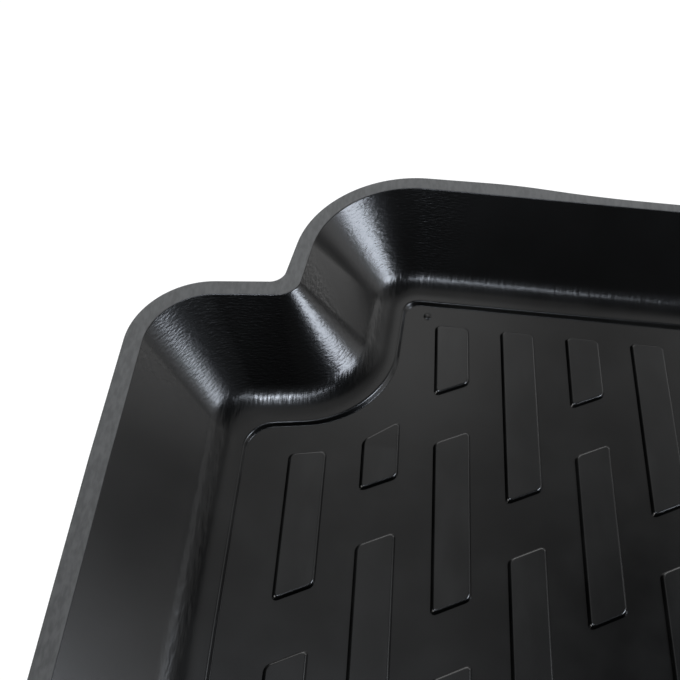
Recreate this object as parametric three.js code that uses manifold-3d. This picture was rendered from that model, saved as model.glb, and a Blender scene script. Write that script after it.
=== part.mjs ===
// A car floor mat moulded in one piece: a flat field with raised treads, a border band one step up,
// and drafted walls that rise to a flat lip. Both back corners are stepped in.
// Millimetres, +Z up, +Y towards the back wall, origin at the centre of the underside.

import * as THREE from 'three';
import { mergeVertices } from 'three/addons/utils/BufferGeometryUtils.js';
import Module from 'manifold-3d';

// Heights above the ground.
const FIELD_TOP = 4;
const BAND_TOP = 6;
const LIP_TOP = 44;
const LIP_THICKNESS = 3.5;

// Half outlines, from the middle of the back round the left side to the front.
// Each corner has its place and its radius, and a corner with no radius is a plain bend.
const FIELD_EDGE = [
  { x: -152, y: 244.8 },
  { x: -206, y: 244.8 },
  { x: -268.1, y: 244.8, radius: 9 },
  { x: -275.6, y: 156.9, radius: 60 },
  { x: -353.9, y: 144.4, radius: 17 },
  { x: -355.2, y: 62, radius: 4000 },
  { x: -355.2, y: -246.2, radius: 17 },
];
const LIP_INSIDE = [
  { x: -152, y: 307.8 },
  { x: -206, y: 307.8 },
  { x: -320.6, y: 307.4, radius: 68 },
  { x: -335.5, y: 211.1, radius: 14 },
  { x: -414.6, y: 202.7, radius: 39 },
  { x: -419.3, y: 36, radius: 4000 },
  { x: -419.3, y: -308.3, radius: 50 },
];
const LIP_OUTSIDE = [
  { x: -152, y: 314.6 },
  { x: -206, y: 318.6 },
  { x: -326.9, y: 315.7, radius: 80 },
  { x: -344.3, y: 220.3, radius: 10 },
  { x: -424.5, y: 211.3, radius: 49 },
  { x: -429.6, y: 36, radius: 4000 },
  { x: -429.6, y: -318.6, radius: 60 },
];
const CORNER_STEPS = [0, 0, 10, 9, 8, 3, 8];

// The wall's section, as shares of the way from the field's edge to the lip's inside edge.
const STEP_RUN = 0.032;
const FILLET_START = 0.14;
const WALL_FOOT = 0.25;
const FILLET_END = 0.36;
const FILLET_STEPS = 4;
const WALL_THICKNESS_RUN = 0.105;

// Treads stand in columns, and each column is half a period along from the next.
const COLUMN_COUNT = 17;
const COLUMN_PITCH = 40;
const TREAD_WIDTH = 21;
const TREAD_PERIOD = 134;
const TREAD_GAP = 32;
const TREAD_DRAFT = 1;
const TREAD_CORNER_RADIUS = 3;
const TREAD_CORNER_STEPS = 2;
const TREAD_ROOT = 1;
const TREADS_BACK = 230;
const TREADS_FRONT = -232;
const FIRST_GAP_BACK = 182.5;
const END_SLOPE = 0.5;

// The treads beside the stepped corners start lower, on lines that follow the field's edge.
const STEPPED_COLUMNS = [
  { x: 320, top: 132, slope: 0.2 },
  { x: 280, top: 150.5, slope: 0.74 },
];

// A small round dome that the mould leaves in the corner of the field.
const PIP = { x: -255.2, y: 236.6, radius: 2.5, height: 0.8, sides: 24, levels: 8 };

const wasm = await Module();
wasm.setup();

// Rounds the corners of a closed polygon that runs anticlockwise.
function roundedPolygon(corners) {
  const points = [];
  corners.forEach(({ x, y, radius, steps }, index) => {
    const corner = new THREE.Vector2(x, y);
    const previous = corners.at(index - 1);
    const next = corners[(index + 1) % corners.length];
    if (!radius) {
      points.push(corner);
      return;
    }
    const back = new THREE.Vector2(previous.x, previous.y).sub(corner).normalize();
    const ahead = new THREE.Vector2(next.x, next.y).sub(corner).normalize();
    const halfAngle = back.angleTo(ahead) / 2;
    const bisector = back.clone().add(ahead).normalize();
    const centre = corner.clone().addScaledVector(bisector, radius / Math.sin(halfAngle));
    const first = corner.clone().addScaledVector(back, radius / Math.tan(halfAngle)).sub(centre);
    const turn = Math.sign(ahead.cross(back)) * (Math.PI - 2 * halfAngle);
    for (let step = 0; step <= steps; step += 1) {
      points.push(first.clone().rotateAround(new THREE.Vector2(), (turn * step) / steps).add(centre));
    }
  });
  return points;
}

// Closes a left half outline with its mirror image.
function wholeOutline(leftHalf) {
  const left = leftHalf.map((corner, index) => ({ ...corner, steps: CORNER_STEPS[index] }));
  const right = left.map((corner) => ({ ...corner, x: -corner.x })).reverse();
  return roundedPolygon([...left, ...right]);
}

const fieldEdge = wholeOutline(FIELD_EDGE);
const lipInside = wholeOutline(LIP_INSIDE);
const lipOutside = wholeOutline(LIP_OUTSIDE);

function ring(outline, height) {
  return outline.map(({ x, y }) => new THREE.Vector3(x, y, height));
}

// A ring part of the way from the field's edge to the lip's inside edge.
function wallRing(share, height) {
  return ring(fieldEdge.map((point, index) => point.clone().lerp(lipInside[index], share)), height);
}

// The height of the wall's inner face where it is a given share of the way up.
function wallHeight(share) {
  return BAND_TOP + ((share - WALL_FOOT) / (1 - WALL_FOOT)) * (LIP_TOP - BAND_TOP);
}

// The share of the way out at which the wall's outer face has a given height.
function outerShare(height) {
  const inner = WALL_FOOT + ((height - BAND_TOP) / (LIP_TOP - BAND_TOP)) * (1 - WALL_FOOT);
  return inner + WALL_THICKNESS_RUN;
}

function sectionRings() {
  const inside = new THREE.Path();
  inside.moveTo(0, FIELD_TOP);
  inside.lineTo(STEP_RUN, BAND_TOP);
  inside.lineTo(FILLET_START, BAND_TOP);
  inside.quadraticCurveTo(WALL_FOOT, BAND_TOP, FILLET_END, wallHeight(FILLET_END));
  inside.lineTo(1, LIP_TOP);
  const lipUnderside = LIP_TOP - LIP_THICKNESS;
  return [
    ...inside.getPoints(FILLET_STEPS).map(({ x, y }) => wallRing(x, y)),
    ring(lipOutside, LIP_TOP),
    ring(lipOutside, lipUnderside),
    wallRing(outerShare(lipUnderside), lipUnderside),
    wallRing(outerShare(0), 0),
  ];
}

function solidFrom(positions, indices) {
  return new wasm.Manifold(new wasm.Mesh({
    numProp: 3,
    vertProperties: Float32Array.from(positions),
    triVerts: Uint32Array.from(indices),
  }));
}

// The tray without its treads: rings joined by strips, with the field and the underside as caps.
function tray() {
  const rings = sectionRings();
  const count = rings[0].length;
  const indices = [];
  for (let level = 0; level + 1 < rings.length; level += 1) {
    for (let side = 0; side < count; side += 1) {
      const inner = level * count + side;
      const innerNext = level * count + ((side + 1) % count);
      indices.push(inner, inner + count, innerNext);
      indices.push(innerNext, inner + count, innerNext + count);
    }
  }
  const underside = (rings.length - 1) * count;
  for (const [a, b, c] of THREE.ShapeUtils.triangulateShape(fieldEdge, [])) {
    indices.push(a, b, c);
  }
  for (const [a, b, c] of THREE.ShapeUtils.triangulateShape(rings.at(-1), [])) {
    indices.push(underside + c, underside + b, underside + a);
  }
  return solidFrom(rings.flat().flatMap((point) => point.toArray()), indices);
}

function solidOf(geometry) {
  geometry.deleteAttribute('normal');
  geometry.deleteAttribute('uv');
  const merged = mergeVertices(geometry);
  return solidFrom(merged.attributes.position.array, merged.index.array);
}

// The lower half of the dome's flattened ball is sunk in the floor.
function pip() {
  const ball = new THREE.SphereGeometry(1, PIP.sides, PIP.levels);
  ball.rotateX(Math.PI / 2);
  ball.scale(PIP.radius, PIP.radius, PIP.height);
  ball.translate(PIP.x, PIP.y, FIELD_TOP);
  return solidOf(ball);
}

// One tread: a drafted block whose root is sunk in the floor.
function tread(x, top, topSlope, bottom, bottomSlope) {
  const half = TREAD_WIDTH / 2;
  const corner = (offset, middle, slope) => ({
    x: x + offset,
    y: middle + slope * offset,
    radius: TREAD_CORNER_RADIUS,
    steps: TREAD_CORNER_STEPS,
  });
  const shape = new THREE.Shape(roundedPolygon([
    corner(half, top, topSlope),
    corner(-half, top, topSlope),
    corner(-half, bottom, bottomSlope),
    corner(half, bottom, bottomSlope),
  ]));
  const block = new THREE.ExtrudeGeometry(shape, {
    depth: TREAD_ROOT,
    bevelThickness: BAND_TOP - FIELD_TOP,
    bevelSize: TREAD_DRAFT,
    bevelOffset: -TREAD_DRAFT,
    bevelSegments: 1,
  });
  block.translate(0, 0, FIELD_TOP - TREAD_ROOT);
  return solidOf(block);
}

// The treads of one column, from the back to the front. Each gap ends one tread and starts the next.
function columnTreads(column) {
  const x = (column - (COLUMN_COUNT - 1) / 2) * COLUMN_PITCH;
  const stepped = STEPPED_COLUMNS.find((entry) => entry.x === Math.abs(x));
  let top = stepped ? stepped.top : TREADS_BACK;
  let topSlope = stepped ? -Math.sign(x) * stepped.slope : 0;
  const treads = [];
  const firstGap = FIRST_GAP_BACK - (column % 2) * (TREAD_PERIOD / 2);
  for (let gap = firstGap; gap > TREADS_FRONT; gap -= TREAD_PERIOD) {
    if (gap < top) {
      treads.push(tread(x, top, topSlope, gap, END_SLOPE));
      top = gap - TREAD_GAP;
      topSlope = END_SLOPE;
    }
  }
  treads.push(tread(x, top, topSlope, TREADS_FRONT, 0));
  return treads;
}

function floorMat() {
  let solid = tray().add(pip());
  for (let column = 0; column < COLUMN_COUNT; column += 1) {
    for (const block of columnTreads(column)) {
      solid = solid.add(block);
    }
  }
  const { vertProperties, triVerts } = solid.getMesh();
  const geometry = new THREE.BufferGeometry();
  geometry.setAttribute('position', new THREE.BufferAttribute(vertProperties, 3));
  geometry.setIndex(new THREE.BufferAttribute(triVerts, 1));
  geometry.computeVertexNormals();
  const rubber = new THREE.MeshStandardMaterial({ color: 0x1b1b1e, roughness: 0.42, metalness: 0 });
  const mesh = new THREE.Mesh(geometry, rubber);
  mesh.name = 'floor_mat';
  return mesh;
}

const model = new THREE.Group();
model.add(floorMat());
export default model;
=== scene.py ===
"""A black one-piece tray mat for a car, on a pale studio floor."""

import math

import bmesh
import bpy
from mathutils import Matrix, Vector


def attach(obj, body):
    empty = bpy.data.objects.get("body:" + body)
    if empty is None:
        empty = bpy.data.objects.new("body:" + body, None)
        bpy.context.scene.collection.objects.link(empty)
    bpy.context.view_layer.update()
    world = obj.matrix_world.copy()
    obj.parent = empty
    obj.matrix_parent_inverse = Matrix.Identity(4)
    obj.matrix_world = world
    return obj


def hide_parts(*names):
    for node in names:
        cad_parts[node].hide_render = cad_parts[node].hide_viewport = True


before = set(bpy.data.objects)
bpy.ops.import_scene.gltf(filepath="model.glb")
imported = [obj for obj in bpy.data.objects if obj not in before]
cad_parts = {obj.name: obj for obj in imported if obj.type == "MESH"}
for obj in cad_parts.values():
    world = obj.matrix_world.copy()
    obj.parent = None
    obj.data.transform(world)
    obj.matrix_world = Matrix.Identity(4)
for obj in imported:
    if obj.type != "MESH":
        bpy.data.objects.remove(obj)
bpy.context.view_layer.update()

MM = 0.001

# How close two places are when they count as one, and how far a ring is held up while it is bridged.
NEAR = 0.01 * MM
BRIDGE_LIFT = 0.9 * MM

# Angles, in degrees: edges that bend less are left unrounded, and edges that bend more are shaded sharp.
ROUNDED_FROM = 20
SHARP_FROM = 40

# Heights above the ground.
FIELD_TOP = 4 * MM
BAND_TOP = 6 * MM
LIP_TOP = 44 * MM
LIP_UNDERSIDE = 40.5 * MM

# Half outlines in millimetres, from the middle of the back round the left side to the front.
# Each corner is a place, and how far its rounding reaches along the sides.
FIELD_EDGE = [
    (-152, 244.8, 22),
    (-206, 244.8, 15),
    (-268.1, 244.8, 8.2),
    (-275.6, 156.9, 46.9),
    (-353.9, 144.4, 14.3),
    (-355.2, 62, 31),
    (-355.2, -246.2, 17),
]
STEP_EDGE = [
    (-152, 247.1, 22),
    (-206, 247.1, 15),
    (-269.8, 247.1, 9.8),
    (-277.6, 158.0, 47.3),
    (-355.7, 145.6, 14.9),
    (-357, 62, 32),
    (-357, -248.2, 18),
]
LIP_INSIDE = [
    (-152, 307.8, 22),
    (-206, 307.8, 15),
    (-320.6, 307.4, 58.1),
    (-335.5, 211.1, 10.8),
    (-414.6, 202.7, 34.1),
    (-419.3, 36, 56),
    (-419.3, -308.3, 50),
]
LIP_OUTSIDE = [
    (-152, 314.6, 22),
    (-206, 318.6, 15),
    (-326.9, 315.7, 65.1),
    (-344.3, 220.3, 7.4),
    (-424.5, 211.3, 42.5),
    (-429.6, 36, 58),
    (-429.6, -318.6, 60),
]
CORNER_SEGMENTS = [6, 6, 26, 22, 22, 6, 20]

# Shares of the way from the field's edge to the lip's inside edge.
FILLET_START = 0.06
WALL_FOOT = 0.25
FILLET_END = 0.36
FILLET_RINGS = 12
WALL_THICKNESS = 0.105

# Roundings: reach from the edge, and segments.
STEP_ROUND = (0.7 * MM, 4)
STEP_ROOT_ROUND = (0.3 * MM, 3)
LIP_ROUND = (0.7 * MM, 3)

# Treads.
COLUMN_COUNT = 17
COLUMN_PITCH = 40 * MM
TREAD_WIDTH = 21 * MM
TREAD_PERIOD = 134 * MM
TREAD_GAP = 32 * MM
TREAD_DRAFT = 0.45
TREAD_ROOT = 1 * MM
TREAD_CORNER = (3.0 * MM, 6)
TREAD_ROUND = (1.0 * MM, 4)
TREADS_BACK = 230 * MM
TREADS_FRONT = -232 * MM
FIRST_GAP_BACK = 182.5 * MM
END_SLOPE = 0.5
STEPPED_COLUMNS = {8: (132 * MM, 0.2), 7: (150.5 * MM, 0.74)}

# The small dome that the mould leaves in the corner of the field.
PIP_PLACE = Vector((-255.2, 236.6, 4)) * MM
PIP_SIZE = Vector((2.5, 2.5, 0.8)) * MM
PIP_SEGMENTS = 32
PIP_RINGS = 16

# Colours of the moulding.
BLACK = (0.0007, 0.0007, 0.0007, 1)
DUSTY = (0.0045, 0.0045, 0.0043, 1)
SCUFFED = (0.009, 0.009, 0.0087, 1)
LIP_GREY = (0.048, 0.047, 0.045, 1)
# A lighter lip grey, used both for streaks of wear and for the painted light towards the back of the lip.
LIP_WORN_AND_LIT = (0.102, 0.101, 0.097, 1)

# Where a finish changes with height: the heights at which the change starts and ends.
TOPS_START = (5.7 * MM, 5.95 * MM)
TOPS_END = (6.05 * MM, 6.3 * MM)
FOOT_START = (6.3 * MM, 7.5 * MM)
FOOT_END = (9.5 * MM, 13 * MM)
DUST_END = (7 * MM, 12 * MM)
WALL_START = (8 * MM, 13 * MM)
LIP_START = (43.75 * MM, 43.95 * MM)

# Where the treads stand: between the stepped corners, and in front of them.
TREADS_NARROW_SIDE = (262 * MM, 264 * MM)
TREADS_NARROW_BACK = (233 * MM, 235 * MM)
TREADS_WIDE_SIDE = (340 * MM, 342 * MM)
TREADS_WIDE_BACK = (137 * MM, 140 * MM)

# Where the walls of the stepped corners are tooled rough, and the link between their corners is smooth.
TOOLED_BACK = (130 * MM, 170 * MM)
TOOLED_SIDE = (220 * MM, 260 * MM)
TOOLED_LEAST = 0.12
LINK_START = (170 * MM, 190 * MM)
LINK_END = (210 * MM, 235 * MM)
LINK_SIDE = (240 * MM, 260 * MM)
LINK_LEAN = 1.42

# Where the outermost corners are rubbed a little matt, and where along the lip a painted light makes it
# lighter towards the back.
OUTER_BACK = (100 * MM, 150 * MM)
OUTER_SIDE = (340 * MM, 370 * MM)
LIP_PAINTED_LIGHT_BACK = (0, 200 * MM)

# Shares of a noise over which a patch of dust, of scuffs or of wear comes in.
DUST_PATCHES = (0.35, 0.75)
SCUFF_PATCHES = (0.35, 0.8)
SCUFF_LEAST = 0.3
WEAR_PATCHES = (0.3, 0.7)

# The lumps of each noise in a metre along x, y and z.
CLOUD_LUMPS = (25, 25, 25)
SCUFF_LUMPS = (60, 22, 60)
STREAK_LUMPS = (500, 170, 150)
TOOL_LUMPS = (300, 300, 1600)
COMB_LUMPS = (520, 120, 120)
GRAIN_LUMPS = (900, 900, 900)

# How deep the fine marks are, and the depth of the comb and the grain as shares of it.
MARK_DEPTH = 0.11 * MM
COMB_SHARE = 1.6
GRAIN_SHARE = 0.1

# How rough the satin is, and what the lip, the clouds and the outermost corners add to it.
SATIN = 0.18
LIP_MATT = 0.45
CLOUD_MATT = 0.06
OUTER_MATT = 0.06

# The floor: its side, how far it lies under the mat, its colour, and how far the camera sees it washed out.
FLOOR_SIDE = 8
FLOOR_GAP = 0.5 * MM
FLOOR_COLOR = (0.85, 0.85, 0.85, 1)
FLOOR_WASH = 0.8
WASH_BRIGHTNESS = 1.15

LAMP_COLOR = (0.82, 0.89, 1.0)

# The lamps: where each stands, where it points, its width and height, and its power.
LAMPS = {
    "overhead_lamp": ((-0.43, 0.02, 1.55), (-0.3, 0.2, 0), (0.32, 0.12), 7),
    "strip_lamp": ((-0.03, 0.0, 1.55), (-0.1, 0.2, 0), (0.6, 0.08), 1.8),
    "right_lamp": ((0.85, 0.15, 0.96), (-0.3, 0.2, 0), (0.38, 0.38), 9.0),
}

# Soft patches of light in the room: the way to each, the angles from there at which it is full and gone,
# and its brightness.
GLOWS = [
    ((0.06, 0.64, 0.765), 3, 9, 1.0),
    ((-0.28, 0.62, 0.74), 6, 22, 0.2),
    ((0.34, 0.62, 0.71), 3, 14, 0.45),
    ((-0.72, -0.38, 0.55), 6, 16, 9.0),
    ((0.0, 0.42, 0.91), 5, 18, 0.46),
    ((0.55, 0.76, 0.35), 8, 22, 1.0),
    ((0.68, 0.65, 0.36), 3, 11, 0.7),
    ((0.78, 0.61, 0.14), 3, 9, 2.4),
    ((0.88, 0.40, 0.22), 2, 6.5, 1.2),
    ((0.78, 0.32, 0.53), 4, 12, 0.4),
    ((0.89, 0.16, 0.42), 5, 14, 1.1),
    ((0.60, 0.48, 0.64), 8, 22, 0.35),
    ((0.0, 0.95, 0.30), 8, 30, 2.8),
    ((0.35, -0.5, 0.8), 10, 26, 0.05),
]

# The camera: where it stands, how it is turned, in degrees, and its lens.
CAMERA_PLACE = (-0.310, -0.1544, 0.4835)
CAMERA_AZIMUTH = 0.33
CAMERA_DOWN = 52.6
CAMERA_ROLL = 5.58
FOCAL_PIXELS = 1000
PICTURE_PIXELS = 680
SENSOR_WIDTH = 36
NEAREST_SEEN = 10 * MM


def camera():
    data = bpy.data.cameras.new("camera")
    data.sensor_width = SENSOR_WIDTH
    data.lens = SENSOR_WIDTH * FOCAL_PIXELS / PICTURE_PIXELS
    data.clip_start = NEAREST_SEEN
    holder = bpy.data.objects.new("camera", data)
    bpy.context.scene.collection.objects.link(holder)
    turn = Matrix.Rotation(math.radians(-CAMERA_AZIMUTH), 4, "Z")
    tilt = Matrix.Rotation(math.radians(90 - CAMERA_DOWN), 4, "X")
    roll = Matrix.Rotation(math.radians(CAMERA_ROLL), 4, "Z")
    holder.matrix_world = Matrix.Translation(CAMERA_PLACE) @ turn @ tilt @ roll
    bpy.context.scene.camera = holder


# Modelling helpers.


def activate(piece):
    bpy.ops.object.select_all(action="DESELECT")
    piece.select_set(True)
    bpy.context.view_layer.objects.active = piece


def edit(piece):
    """Starts editing a piece with nothing selected."""
    activate(piece)
    bpy.ops.object.mode_set(mode="EDIT")
    bpy.ops.mesh.select_all(action="DESELECT")


def done():
    bpy.ops.object.mode_set(mode="OBJECT")


def select(piece, kind, wanted):
    """Selects the vertices or edges that answer to a test, and nothing else."""
    bpy.ops.mesh.select_mode(type={"verts": "VERT", "edges": "EDGE"}[kind])
    bpy.ops.mesh.select_all(action="DESELECT")
    shape = bmesh.from_edit_mesh(piece.data)
    for element in getattr(shape, kind):
        if wanted(element):
            element.select_set(True)
    shape.select_flush_mode()
    bmesh.update_edit_mesh(piece.data)


def whole(half):
    """Closes a left half outline with its mirror image, in metres."""
    corners = half + [(-x, y, reach) for x, y, reach in reversed(half)]
    return [(Vector((x, y)) * MM, reach * MM) for x, y, reach in corners]


def between(low, high, share):
    """An outline part of the way from one to the other."""
    return [
        (low_place.lerp(high_place, share), low_reach + (high_reach - low_reach) * share)
        for (low_place, low_reach), (high_place, high_reach) in zip(low, high)
    ]


def rounded_ring(outline, height, filled):
    """A flat ring at a height: a circle taken out to the corners, which are then rounded."""
    bpy.ops.mesh.primitive_circle_add(vertices=len(outline), radius=1, fill_type="NGON")
    ring = bpy.context.object
    for vertex, (place, reach) in zip(ring.data.vertices, outline):
        vertex.co = (*place, height)
    segments = CORNER_SEGMENTS + CORNER_SEGMENTS[::-1]
    edit(ring)
    for (place, reach), count in zip(outline, segments):
        select(ring, "verts", lambda vertex: (vertex.co.xy - place).length < NEAR)
        bpy.ops.mesh.bevel(affect="VERTICES", offset_type="OFFSET", offset=reach, segments=count)
    if not filled:
        bpy.ops.mesh.select_all(action="SELECT")
        bpy.ops.mesh.delete(type="ONLY_FACE")
    done()
    return ring


def add_ring(shell, outline, height, filled):
    """Joins one more ring to a shell's open edge, bridged a little high, as level rings would cross."""
    ring = rounded_ring(outline, height + BRIDGE_LIFT, filled)
    activate(shell)
    ring.select_set(True)
    bpy.ops.object.join()
    edit(shell)
    bpy.ops.mesh.select_mode(type="EDGE")
    bpy.ops.mesh.select_non_manifold(
        use_wire=True, use_boundary=True, use_multi_face=False, use_non_contiguous=False, use_verts=False
    )
    bpy.ops.mesh.bridge_edge_loops()
    select(shell, "verts", lambda vertex: abs(vertex.co.z - height - BRIDGE_LIFT) < NEAR)
    bpy.ops.transform.translate(value=(0, 0, -BRIDGE_LIFT))
    done()


def round_edges(shell, height, rounding, convex):
    """Rounds the edges that lie at one height and turn the surface one way."""
    reach, segments = rounding

    def wanted(edge):
        level = all(abs(vertex.co.z - height) < NEAR for vertex in edge.verts)
        return level and edge.calc_face_angle() > math.radians(ROUNDED_FROM) and edge.is_convex == convex

    select(shell, "edges", wanted)
    bpy.ops.mesh.bevel(
        affect="EDGES", offset_type="OFFSET", offset=reach, segments=segments, clamp_overlap=False
    )


def wall_height(share):
    """The height of the wall's inner face at a share of the way up."""
    return BAND_TOP + (share - WALL_FOOT) / (1 - WALL_FOOT) * (LIP_TOP - BAND_TOP)


def outer_share(height):
    """The share at which the wall's outer face has a given height."""
    inner = WALL_FOOT + (height - BAND_TOP) / (LIP_TOP - BAND_TOP) * (1 - WALL_FOOT)
    return inner + WALL_THICKNESS


def fillet_sections():
    """The wall's foot: flat beside the step, and ever steeper up to the slope of the wall."""
    start = Vector((FILLET_START, BAND_TOP))
    foot = Vector((WALL_FOOT, BAND_TOP))
    end = Vector((FILLET_END, wall_height(FILLET_END)))
    shares = [index / FILLET_RINGS for index in range(FILLET_RINGS + 1)]
    return [start.lerp(foot, share).lerp(foot.lerp(end, share), share) for share in shares]


def tray_shell():
    field = whole(FIELD_EDGE)
    lip_inside = whole(LIP_INSIDE)
    lip_outside = whole(LIP_OUTSIDE)
    shell = rounded_ring(field, FIELD_TOP, True)
    add_ring(shell, whole(STEP_EDGE), BAND_TOP, False)
    for share, height in fillet_sections():
        add_ring(shell, between(field, lip_inside, share), height, False)
    add_ring(shell, lip_inside, LIP_TOP, False)
    add_ring(shell, lip_outside, LIP_TOP, False)
    add_ring(shell, lip_outside, LIP_UNDERSIDE, False)
    add_ring(shell, between(field, lip_inside, outer_share(LIP_UNDERSIDE)), LIP_UNDERSIDE, False)
    add_ring(shell, between(field, lip_inside, outer_share(0)), 0, True)
    edit(shell)
    bpy.ops.mesh.select_all(action="SELECT")
    bpy.ops.mesh.normals_make_consistent(inside=False)
    round_edges(shell, BAND_TOP, STEP_ROUND, True)
    round_edges(shell, FIELD_TOP, STEP_ROOT_ROUND, False)
    round_edges(shell, LIP_TOP, LIP_ROUND, True)
    round_edges(shell, LIP_UNDERSIDE, LIP_ROUND, True)
    round_edges(shell, LIP_UNDERSIDE, LIP_ROUND, False)
    round_edges(shell, 0, LIP_ROUND, True)
    done()
    return shell


def tread(x, top, top_slope, bottom, bottom_slope):
    """One raised tread: a drafted block with round corners and a soft top edge, rooted in the floor."""
    bpy.ops.mesh.primitive_cube_add(size=2)
    block = bpy.context.object
    for vertex in block.data.vertices:
        side, end, level = vertex.co
        height = BAND_TOP if level > 0 else FIELD_TOP - TREAD_ROOT
        inset = (height - FIELD_TOP) * TREAD_DRAFT
        across = side * (TREAD_WIDTH / 2 - inset)
        middle, slope = (top, top_slope) if end > 0 else (bottom, bottom_slope)
        vertex.co = (x + across, middle + slope * across - end * inset, height)
    edit(block)
    select(block, "edges", lambda edge: abs(edge.verts[0].co.z - edge.verts[1].co.z) > MM)
    corner_reach, corner_segments = TREAD_CORNER
    bpy.ops.mesh.bevel(affect="EDGES", offset=corner_reach, segments=corner_segments)
    select(block, "edges", lambda edge: min(vertex.co.z for vertex in edge.verts) > BAND_TOP - NEAR)
    reach, segments = TREAD_ROUND
    bpy.ops.mesh.bevel(affect="EDGES", offset=reach, segments=segments)
    done()
    return block


def column_treads(column):
    """The treads of one column, from the back to the front."""
    place = column - COLUMN_COUNT // 2
    x = place * COLUMN_PITCH
    top, lean = STEPPED_COLUMNS.get(abs(place), (TREADS_BACK, 0))
    top_slope = -math.copysign(lean, place)
    gap = FIRST_GAP_BACK - (column % 2) * TREAD_PERIOD / 2
    treads = []
    while gap > TREADS_FRONT:
        if gap < top:
            treads.append(tread(x, top, top_slope, gap, END_SLOPE))
            top = gap - TREAD_GAP
            top_slope = END_SLOPE
        gap -= TREAD_PERIOD
    treads.append(tread(x, top, top_slope, TREADS_FRONT, 0))
    return treads


def pip():
    """A flattened ball whose lower half is sunk in the floor."""
    bpy.ops.mesh.primitive_uv_sphere_add(segments=PIP_SEGMENTS, ring_count=PIP_RINGS, radius=1)
    ball = bpy.context.object
    for vertex in ball.data.vertices:
        vertex.co = PIP_PLACE + vertex.co * PIP_SIZE
    return ball


def join(pieces):
    activate(pieces[0])
    for piece in pieces:
        piece.select_set(True)
    bpy.ops.object.join()
    return bpy.context.object


def unite(base, extra):
    """Makes the second piece part of the first."""
    activate(base)
    modifier = base.modifiers.new("unite", "BOOLEAN")
    modifier.operation = "UNION"
    modifier.solver = "EXACT"
    modifier.object = extra
    bpy.ops.object.modifier_apply(modifier=modifier.name)
    bpy.data.objects.remove(extra)


def floor_mat():
    mat = tray_shell()
    mat.name = "moulded_mat"
    raised = [pip()]
    for column in range(COLUMN_COUNT):
        raised += column_treads(column)
    unite(mat, join(raised))
    activate(mat)
    bpy.ops.object.shade_smooth_by_angle(angle=math.radians(SHARP_FROM))
    weighted = mat.modifiers.new("weighted", "WEIGHTED_NORMAL")
    weighted.keep_sharp = True
    bpy.ops.object.modifier_apply(modifier=weighted.name)
    return mat


# Materials.


class Wire:
    """A socket of a node tree, so that shader maths reads as a plain expression."""

    def __init__(self, tree, socket):
        self.tree = tree
        self.socket = socket

    def math(self, operation, *values):
        return add(self.tree, "ShaderNodeMath", {"operation": operation}, dict(enumerate(values)))

    def __add__(self, other):
        return self.math("ADD", self, other)

    def __radd__(self, other):
        return self.math("ADD", other, self)

    def __sub__(self, other):
        return self.math("SUBTRACT", self, other)

    def __rsub__(self, other):
        return self.math("SUBTRACT", other, self)

    def __mul__(self, other):
        return self.math("MULTIPLY", self, other)

    def __rmul__(self, other):
        return self.math("MULTIPLY", other, self)

    def __abs__(self):
        return self.math("ABSOLUTE", self)

    def larger(self, other):
        return self.math("MAXIMUM", self, other)

    def rise(self, low, high):
        """0 below low, 1 above high, smooth between."""
        return add(
            self.tree,
            "ShaderNodeMapRange",
            {"interpolation_type": "SMOOTHSTEP"},
            {"Value": self, "From Min": low, "From Max": high},
        )

    def fall(self, low, high):
        """1 below low, 0 above high, smooth between."""
        return 1 - self.rise(low, high)


def add(tree, kind, settings=None, inputs=None, output=0):
    """Adds a node, sets it up, feeds its sockets, and returns one of its outputs."""
    node = tree.nodes.new(kind)
    for name, value in (settings or {}).items():
        setattr(node, name, value)
    for name, value in (inputs or {}).items():
        if isinstance(value, Wire):
            tree.links.new(value.socket, node.inputs[name])
        else:
            node.inputs[name].default_value = value
    return Wire(tree, node.outputs[output]) if node.outputs else None


def new_material(name):
    material = bpy.data.materials.new(name)
    material.use_nodes = True
    material.node_tree.nodes.clear()
    return material, material.node_tree


def noise(place, detail, lumps):
    """Noise between about 0 and 1, with its lumps per metre along x, y and z."""
    spread = add(place.tree, "ShaderNodeVectorMath", {"operation": "MULTIPLY"}, {0: place, 1: lumps})
    return add(place.tree, "ShaderNodeTexNoise", {}, {"Vector": spread, "Scale": 1.0, "Detail": detail})


def mix_color(share, first, second):
    inputs = {"Factor": share, 6: first, 7: second}
    return add(share.tree, "ShaderNodeMix", {"data_type": "RGBA"}, inputs, output=2)


def tread_tops(beside, y, z):
    """1 on the tops of the treads and 0 elsewhere, the border band at the same height included."""
    at_top = z.rise(*TOPS_START) * z.fall(*TOPS_END)
    narrow = beside.fall(*TREADS_NARROW_SIDE) * y.fall(*TREADS_NARROW_BACK)
    wide = beside.fall(*TREADS_WIDE_SIDE) * y.fall(*TREADS_WIDE_BACK)
    return at_top * narrow.larger(wide)


def rubber_color(place, beside, y, z, lip, cloud):
    """Black with clouds of dust below, scuffed on the treads, and grey on the lip, with streaks of wear and
    a painted light that lightens it towards the back.
    """
    scuffs = noise(place, 3, SCUFF_LUMPS)
    streaks = noise(place, 3, STREAK_LUMPS)
    color = mix_color(cloud.rise(*DUST_PATCHES) * z.fall(*DUST_END), BLACK, DUSTY)
    scuffed = scuffs.rise(*SCUFF_PATCHES) * (1 - SCUFF_LEAST) + SCUFF_LEAST
    color = mix_color(tread_tops(beside, y, z) * scuffed, color, SCUFFED)
    # The lip's lighter grey is half real streaks of wear and half painted light, which rises towards the
    # back.
    wear_and_painted_light = streaks.rise(*WEAR_PATCHES) * 0.5 + y.rise(*LIP_PAINTED_LIGHT_BACK) * 0.5
    return mix_color(lip, color, mix_color(wear_and_painted_light, LIP_GREY, LIP_WORN_AND_LIT))


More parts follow.
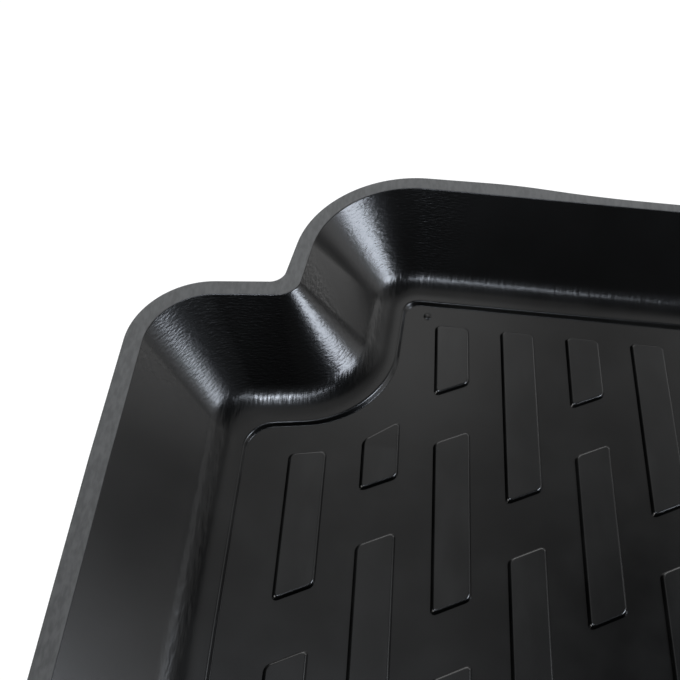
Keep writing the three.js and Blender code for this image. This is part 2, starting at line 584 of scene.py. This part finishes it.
def tooled_corners(beside, y, z):
    """How rough the mould left the walls: most in the corners, and least on the link and elsewhere."""
    along = y - z * LINK_LEAN
    link = along.rise(*LINK_START) * along.fall(*LINK_END) * beside.rise(*LINK_SIDE)
    corners = y.rise(*TOOLED_BACK) * beside.rise(*TOOLED_SIDE) * (1 - link)
    return corners * (1 - TOOLED_LEAST) + TOOLED_LEAST


def rubber_relief(place, beside, y, z, wall):
    """Fine marks: level streaks on the walls, a comb along their foot, and a grain all over."""
    tooled = noise(place, 1, TOOL_LUMPS) * wall * tooled_corners(beside, y, z)
    combed = noise(place, 1, COMB_LUMPS) * z.rise(*FOOT_START) * z.fall(*FOOT_END)
    grain = noise(place, 2, GRAIN_LUMPS)
    height = tooled + combed * COMB_SHARE + grain * GRAIN_SHARE
    return add(place.tree, "ShaderNodeBump", {}, {"Strength": 1, "Distance": MARK_DEPTH, "Height": height})


def moulded_rubber():
    """Black satin moulding, matt and greyer on the flat lip."""
    material, tree = new_material("moulded_rubber")
    place = add(tree, "ShaderNodeTexCoord", output="Object")
    x, y, z = (add(tree, "ShaderNodeSeparateXYZ", {}, {0: place}, output=axis) for axis in "XYZ")
    beside = abs(x)
    lip = z.rise(*LIP_START)
    wall = z.rise(*WALL_START) * (1 - lip)
    outer = y.rise(*OUTER_BACK) * beside.rise(*OUTER_SIDE)
    cloud = noise(place, 3, CLOUD_LUMPS)
    surface = add(
        tree,
        "ShaderNodeBsdfPrincipled",
        {},
        {
            "Base Color": rubber_color(place, beside, y, z, lip, cloud),
            "Roughness": SATIN + lip * LIP_MATT + cloud * CLOUD_MATT + outer * wall * OUTER_MATT,
            "Specular IOR Level": 0.5,
            "Normal": rubber_relief(place, beside, y, z, wall),
        },
    )
    add(tree, "ShaderNodeOutputMaterial", {}, {"Surface": surface})
    return material


def pale_floor():
    """A white floor, which the camera sees mostly washed out, with a little of the mat's shadow."""
    material, tree = new_material("pale_floor")
    diffuse = add(tree, "ShaderNodeBsdfDiffuse", {}, {"Color": FLOOR_COLOR})
    wash = add(tree, "ShaderNodeEmission", {}, {"Color": (1, 1, 1, 1), "Strength": WASH_BRIGHTNESS})
    seen = add(tree, "ShaderNodeLightPath", output="Is Camera Ray")
    surface = add(tree, "ShaderNodeMixShader", {}, {0: seen * FLOOR_WASH, 1: diffuse, 2: wash})
    add(tree, "ShaderNodeOutputMaterial", {}, {"Surface": surface})
    return material


# The studio.


def studio_floor():
    bpy.ops.mesh.primitive_plane_add(size=FLOOR_SIDE, location=(0, 0, -FLOOR_GAP))
    floor = bpy.context.object
    floor.name = "floor"
    floor.data.materials.append(pale_floor())


def area_lamp(name, place, aim, size, power):
    data = bpy.data.lights.new(name, "AREA")
    data.shape = "RECTANGLE"
    data.size, data.size_y = size
    data.energy = power
    data.color = LAMP_COLOR
    lamp = bpy.data.objects.new(name, data)
    bpy.context.scene.collection.objects.link(lamp)
    toward = Vector(aim) - Vector(place)
    lamp.matrix_world = Matrix.Translation(place) @ toward.to_track_quat("-Z", "Y").to_matrix().to_4x4()


def studio_world():
    """A dark room with soft bright patches, which the satin surface mirrors."""
    world = bpy.data.worlds.new("studio")
    world.use_nodes = True
    tree = world.node_tree
    tree.nodes.clear()
    way = add(tree, "ShaderNodeTexCoord", output="Generated")
    strength = 0
    for toward, full, gone, brightness in GLOWS:
        nearness = add(
            tree,
            "ShaderNodeVectorMath",
            {"operation": "DOT_PRODUCT"},
            {0: way, 1: Vector(toward).normalized()},
            output="Value",
        )
        patch = nearness.rise(math.cos(math.radians(gone)), math.cos(math.radians(full)))
        strength = strength + patch * brightness
    room = add(tree, "ShaderNodeBackground", {}, {"Color": (1, 1, 1, 1), "Strength": strength})
    white = add(tree, "ShaderNodeBackground", {}, {"Color": (1, 1, 1, 1), "Strength": 1.0})
    seen = add(tree, "ShaderNodeLightPath", output="Is Camera Ray")
    surface = add(tree, "ShaderNodeMixShader", {}, {0: seen, 1: room, 2: white})
    add(tree, "ShaderNodeOutputWorld", {}, {"Surface": surface})
    bpy.context.scene.world = world


camera()
mat = floor_mat()
mat.data.materials.clear()
mat.data.materials.append(moulded_rubber())
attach(mat, "root")
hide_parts("floor_mat")
studio_floor()
studio_world()
for name, (place, aim, size, power) in LAMPS.items():
    area_lamp(name, place, aim, size, power)
bpy.context.scene.view_settings.view_transform = "Standard"
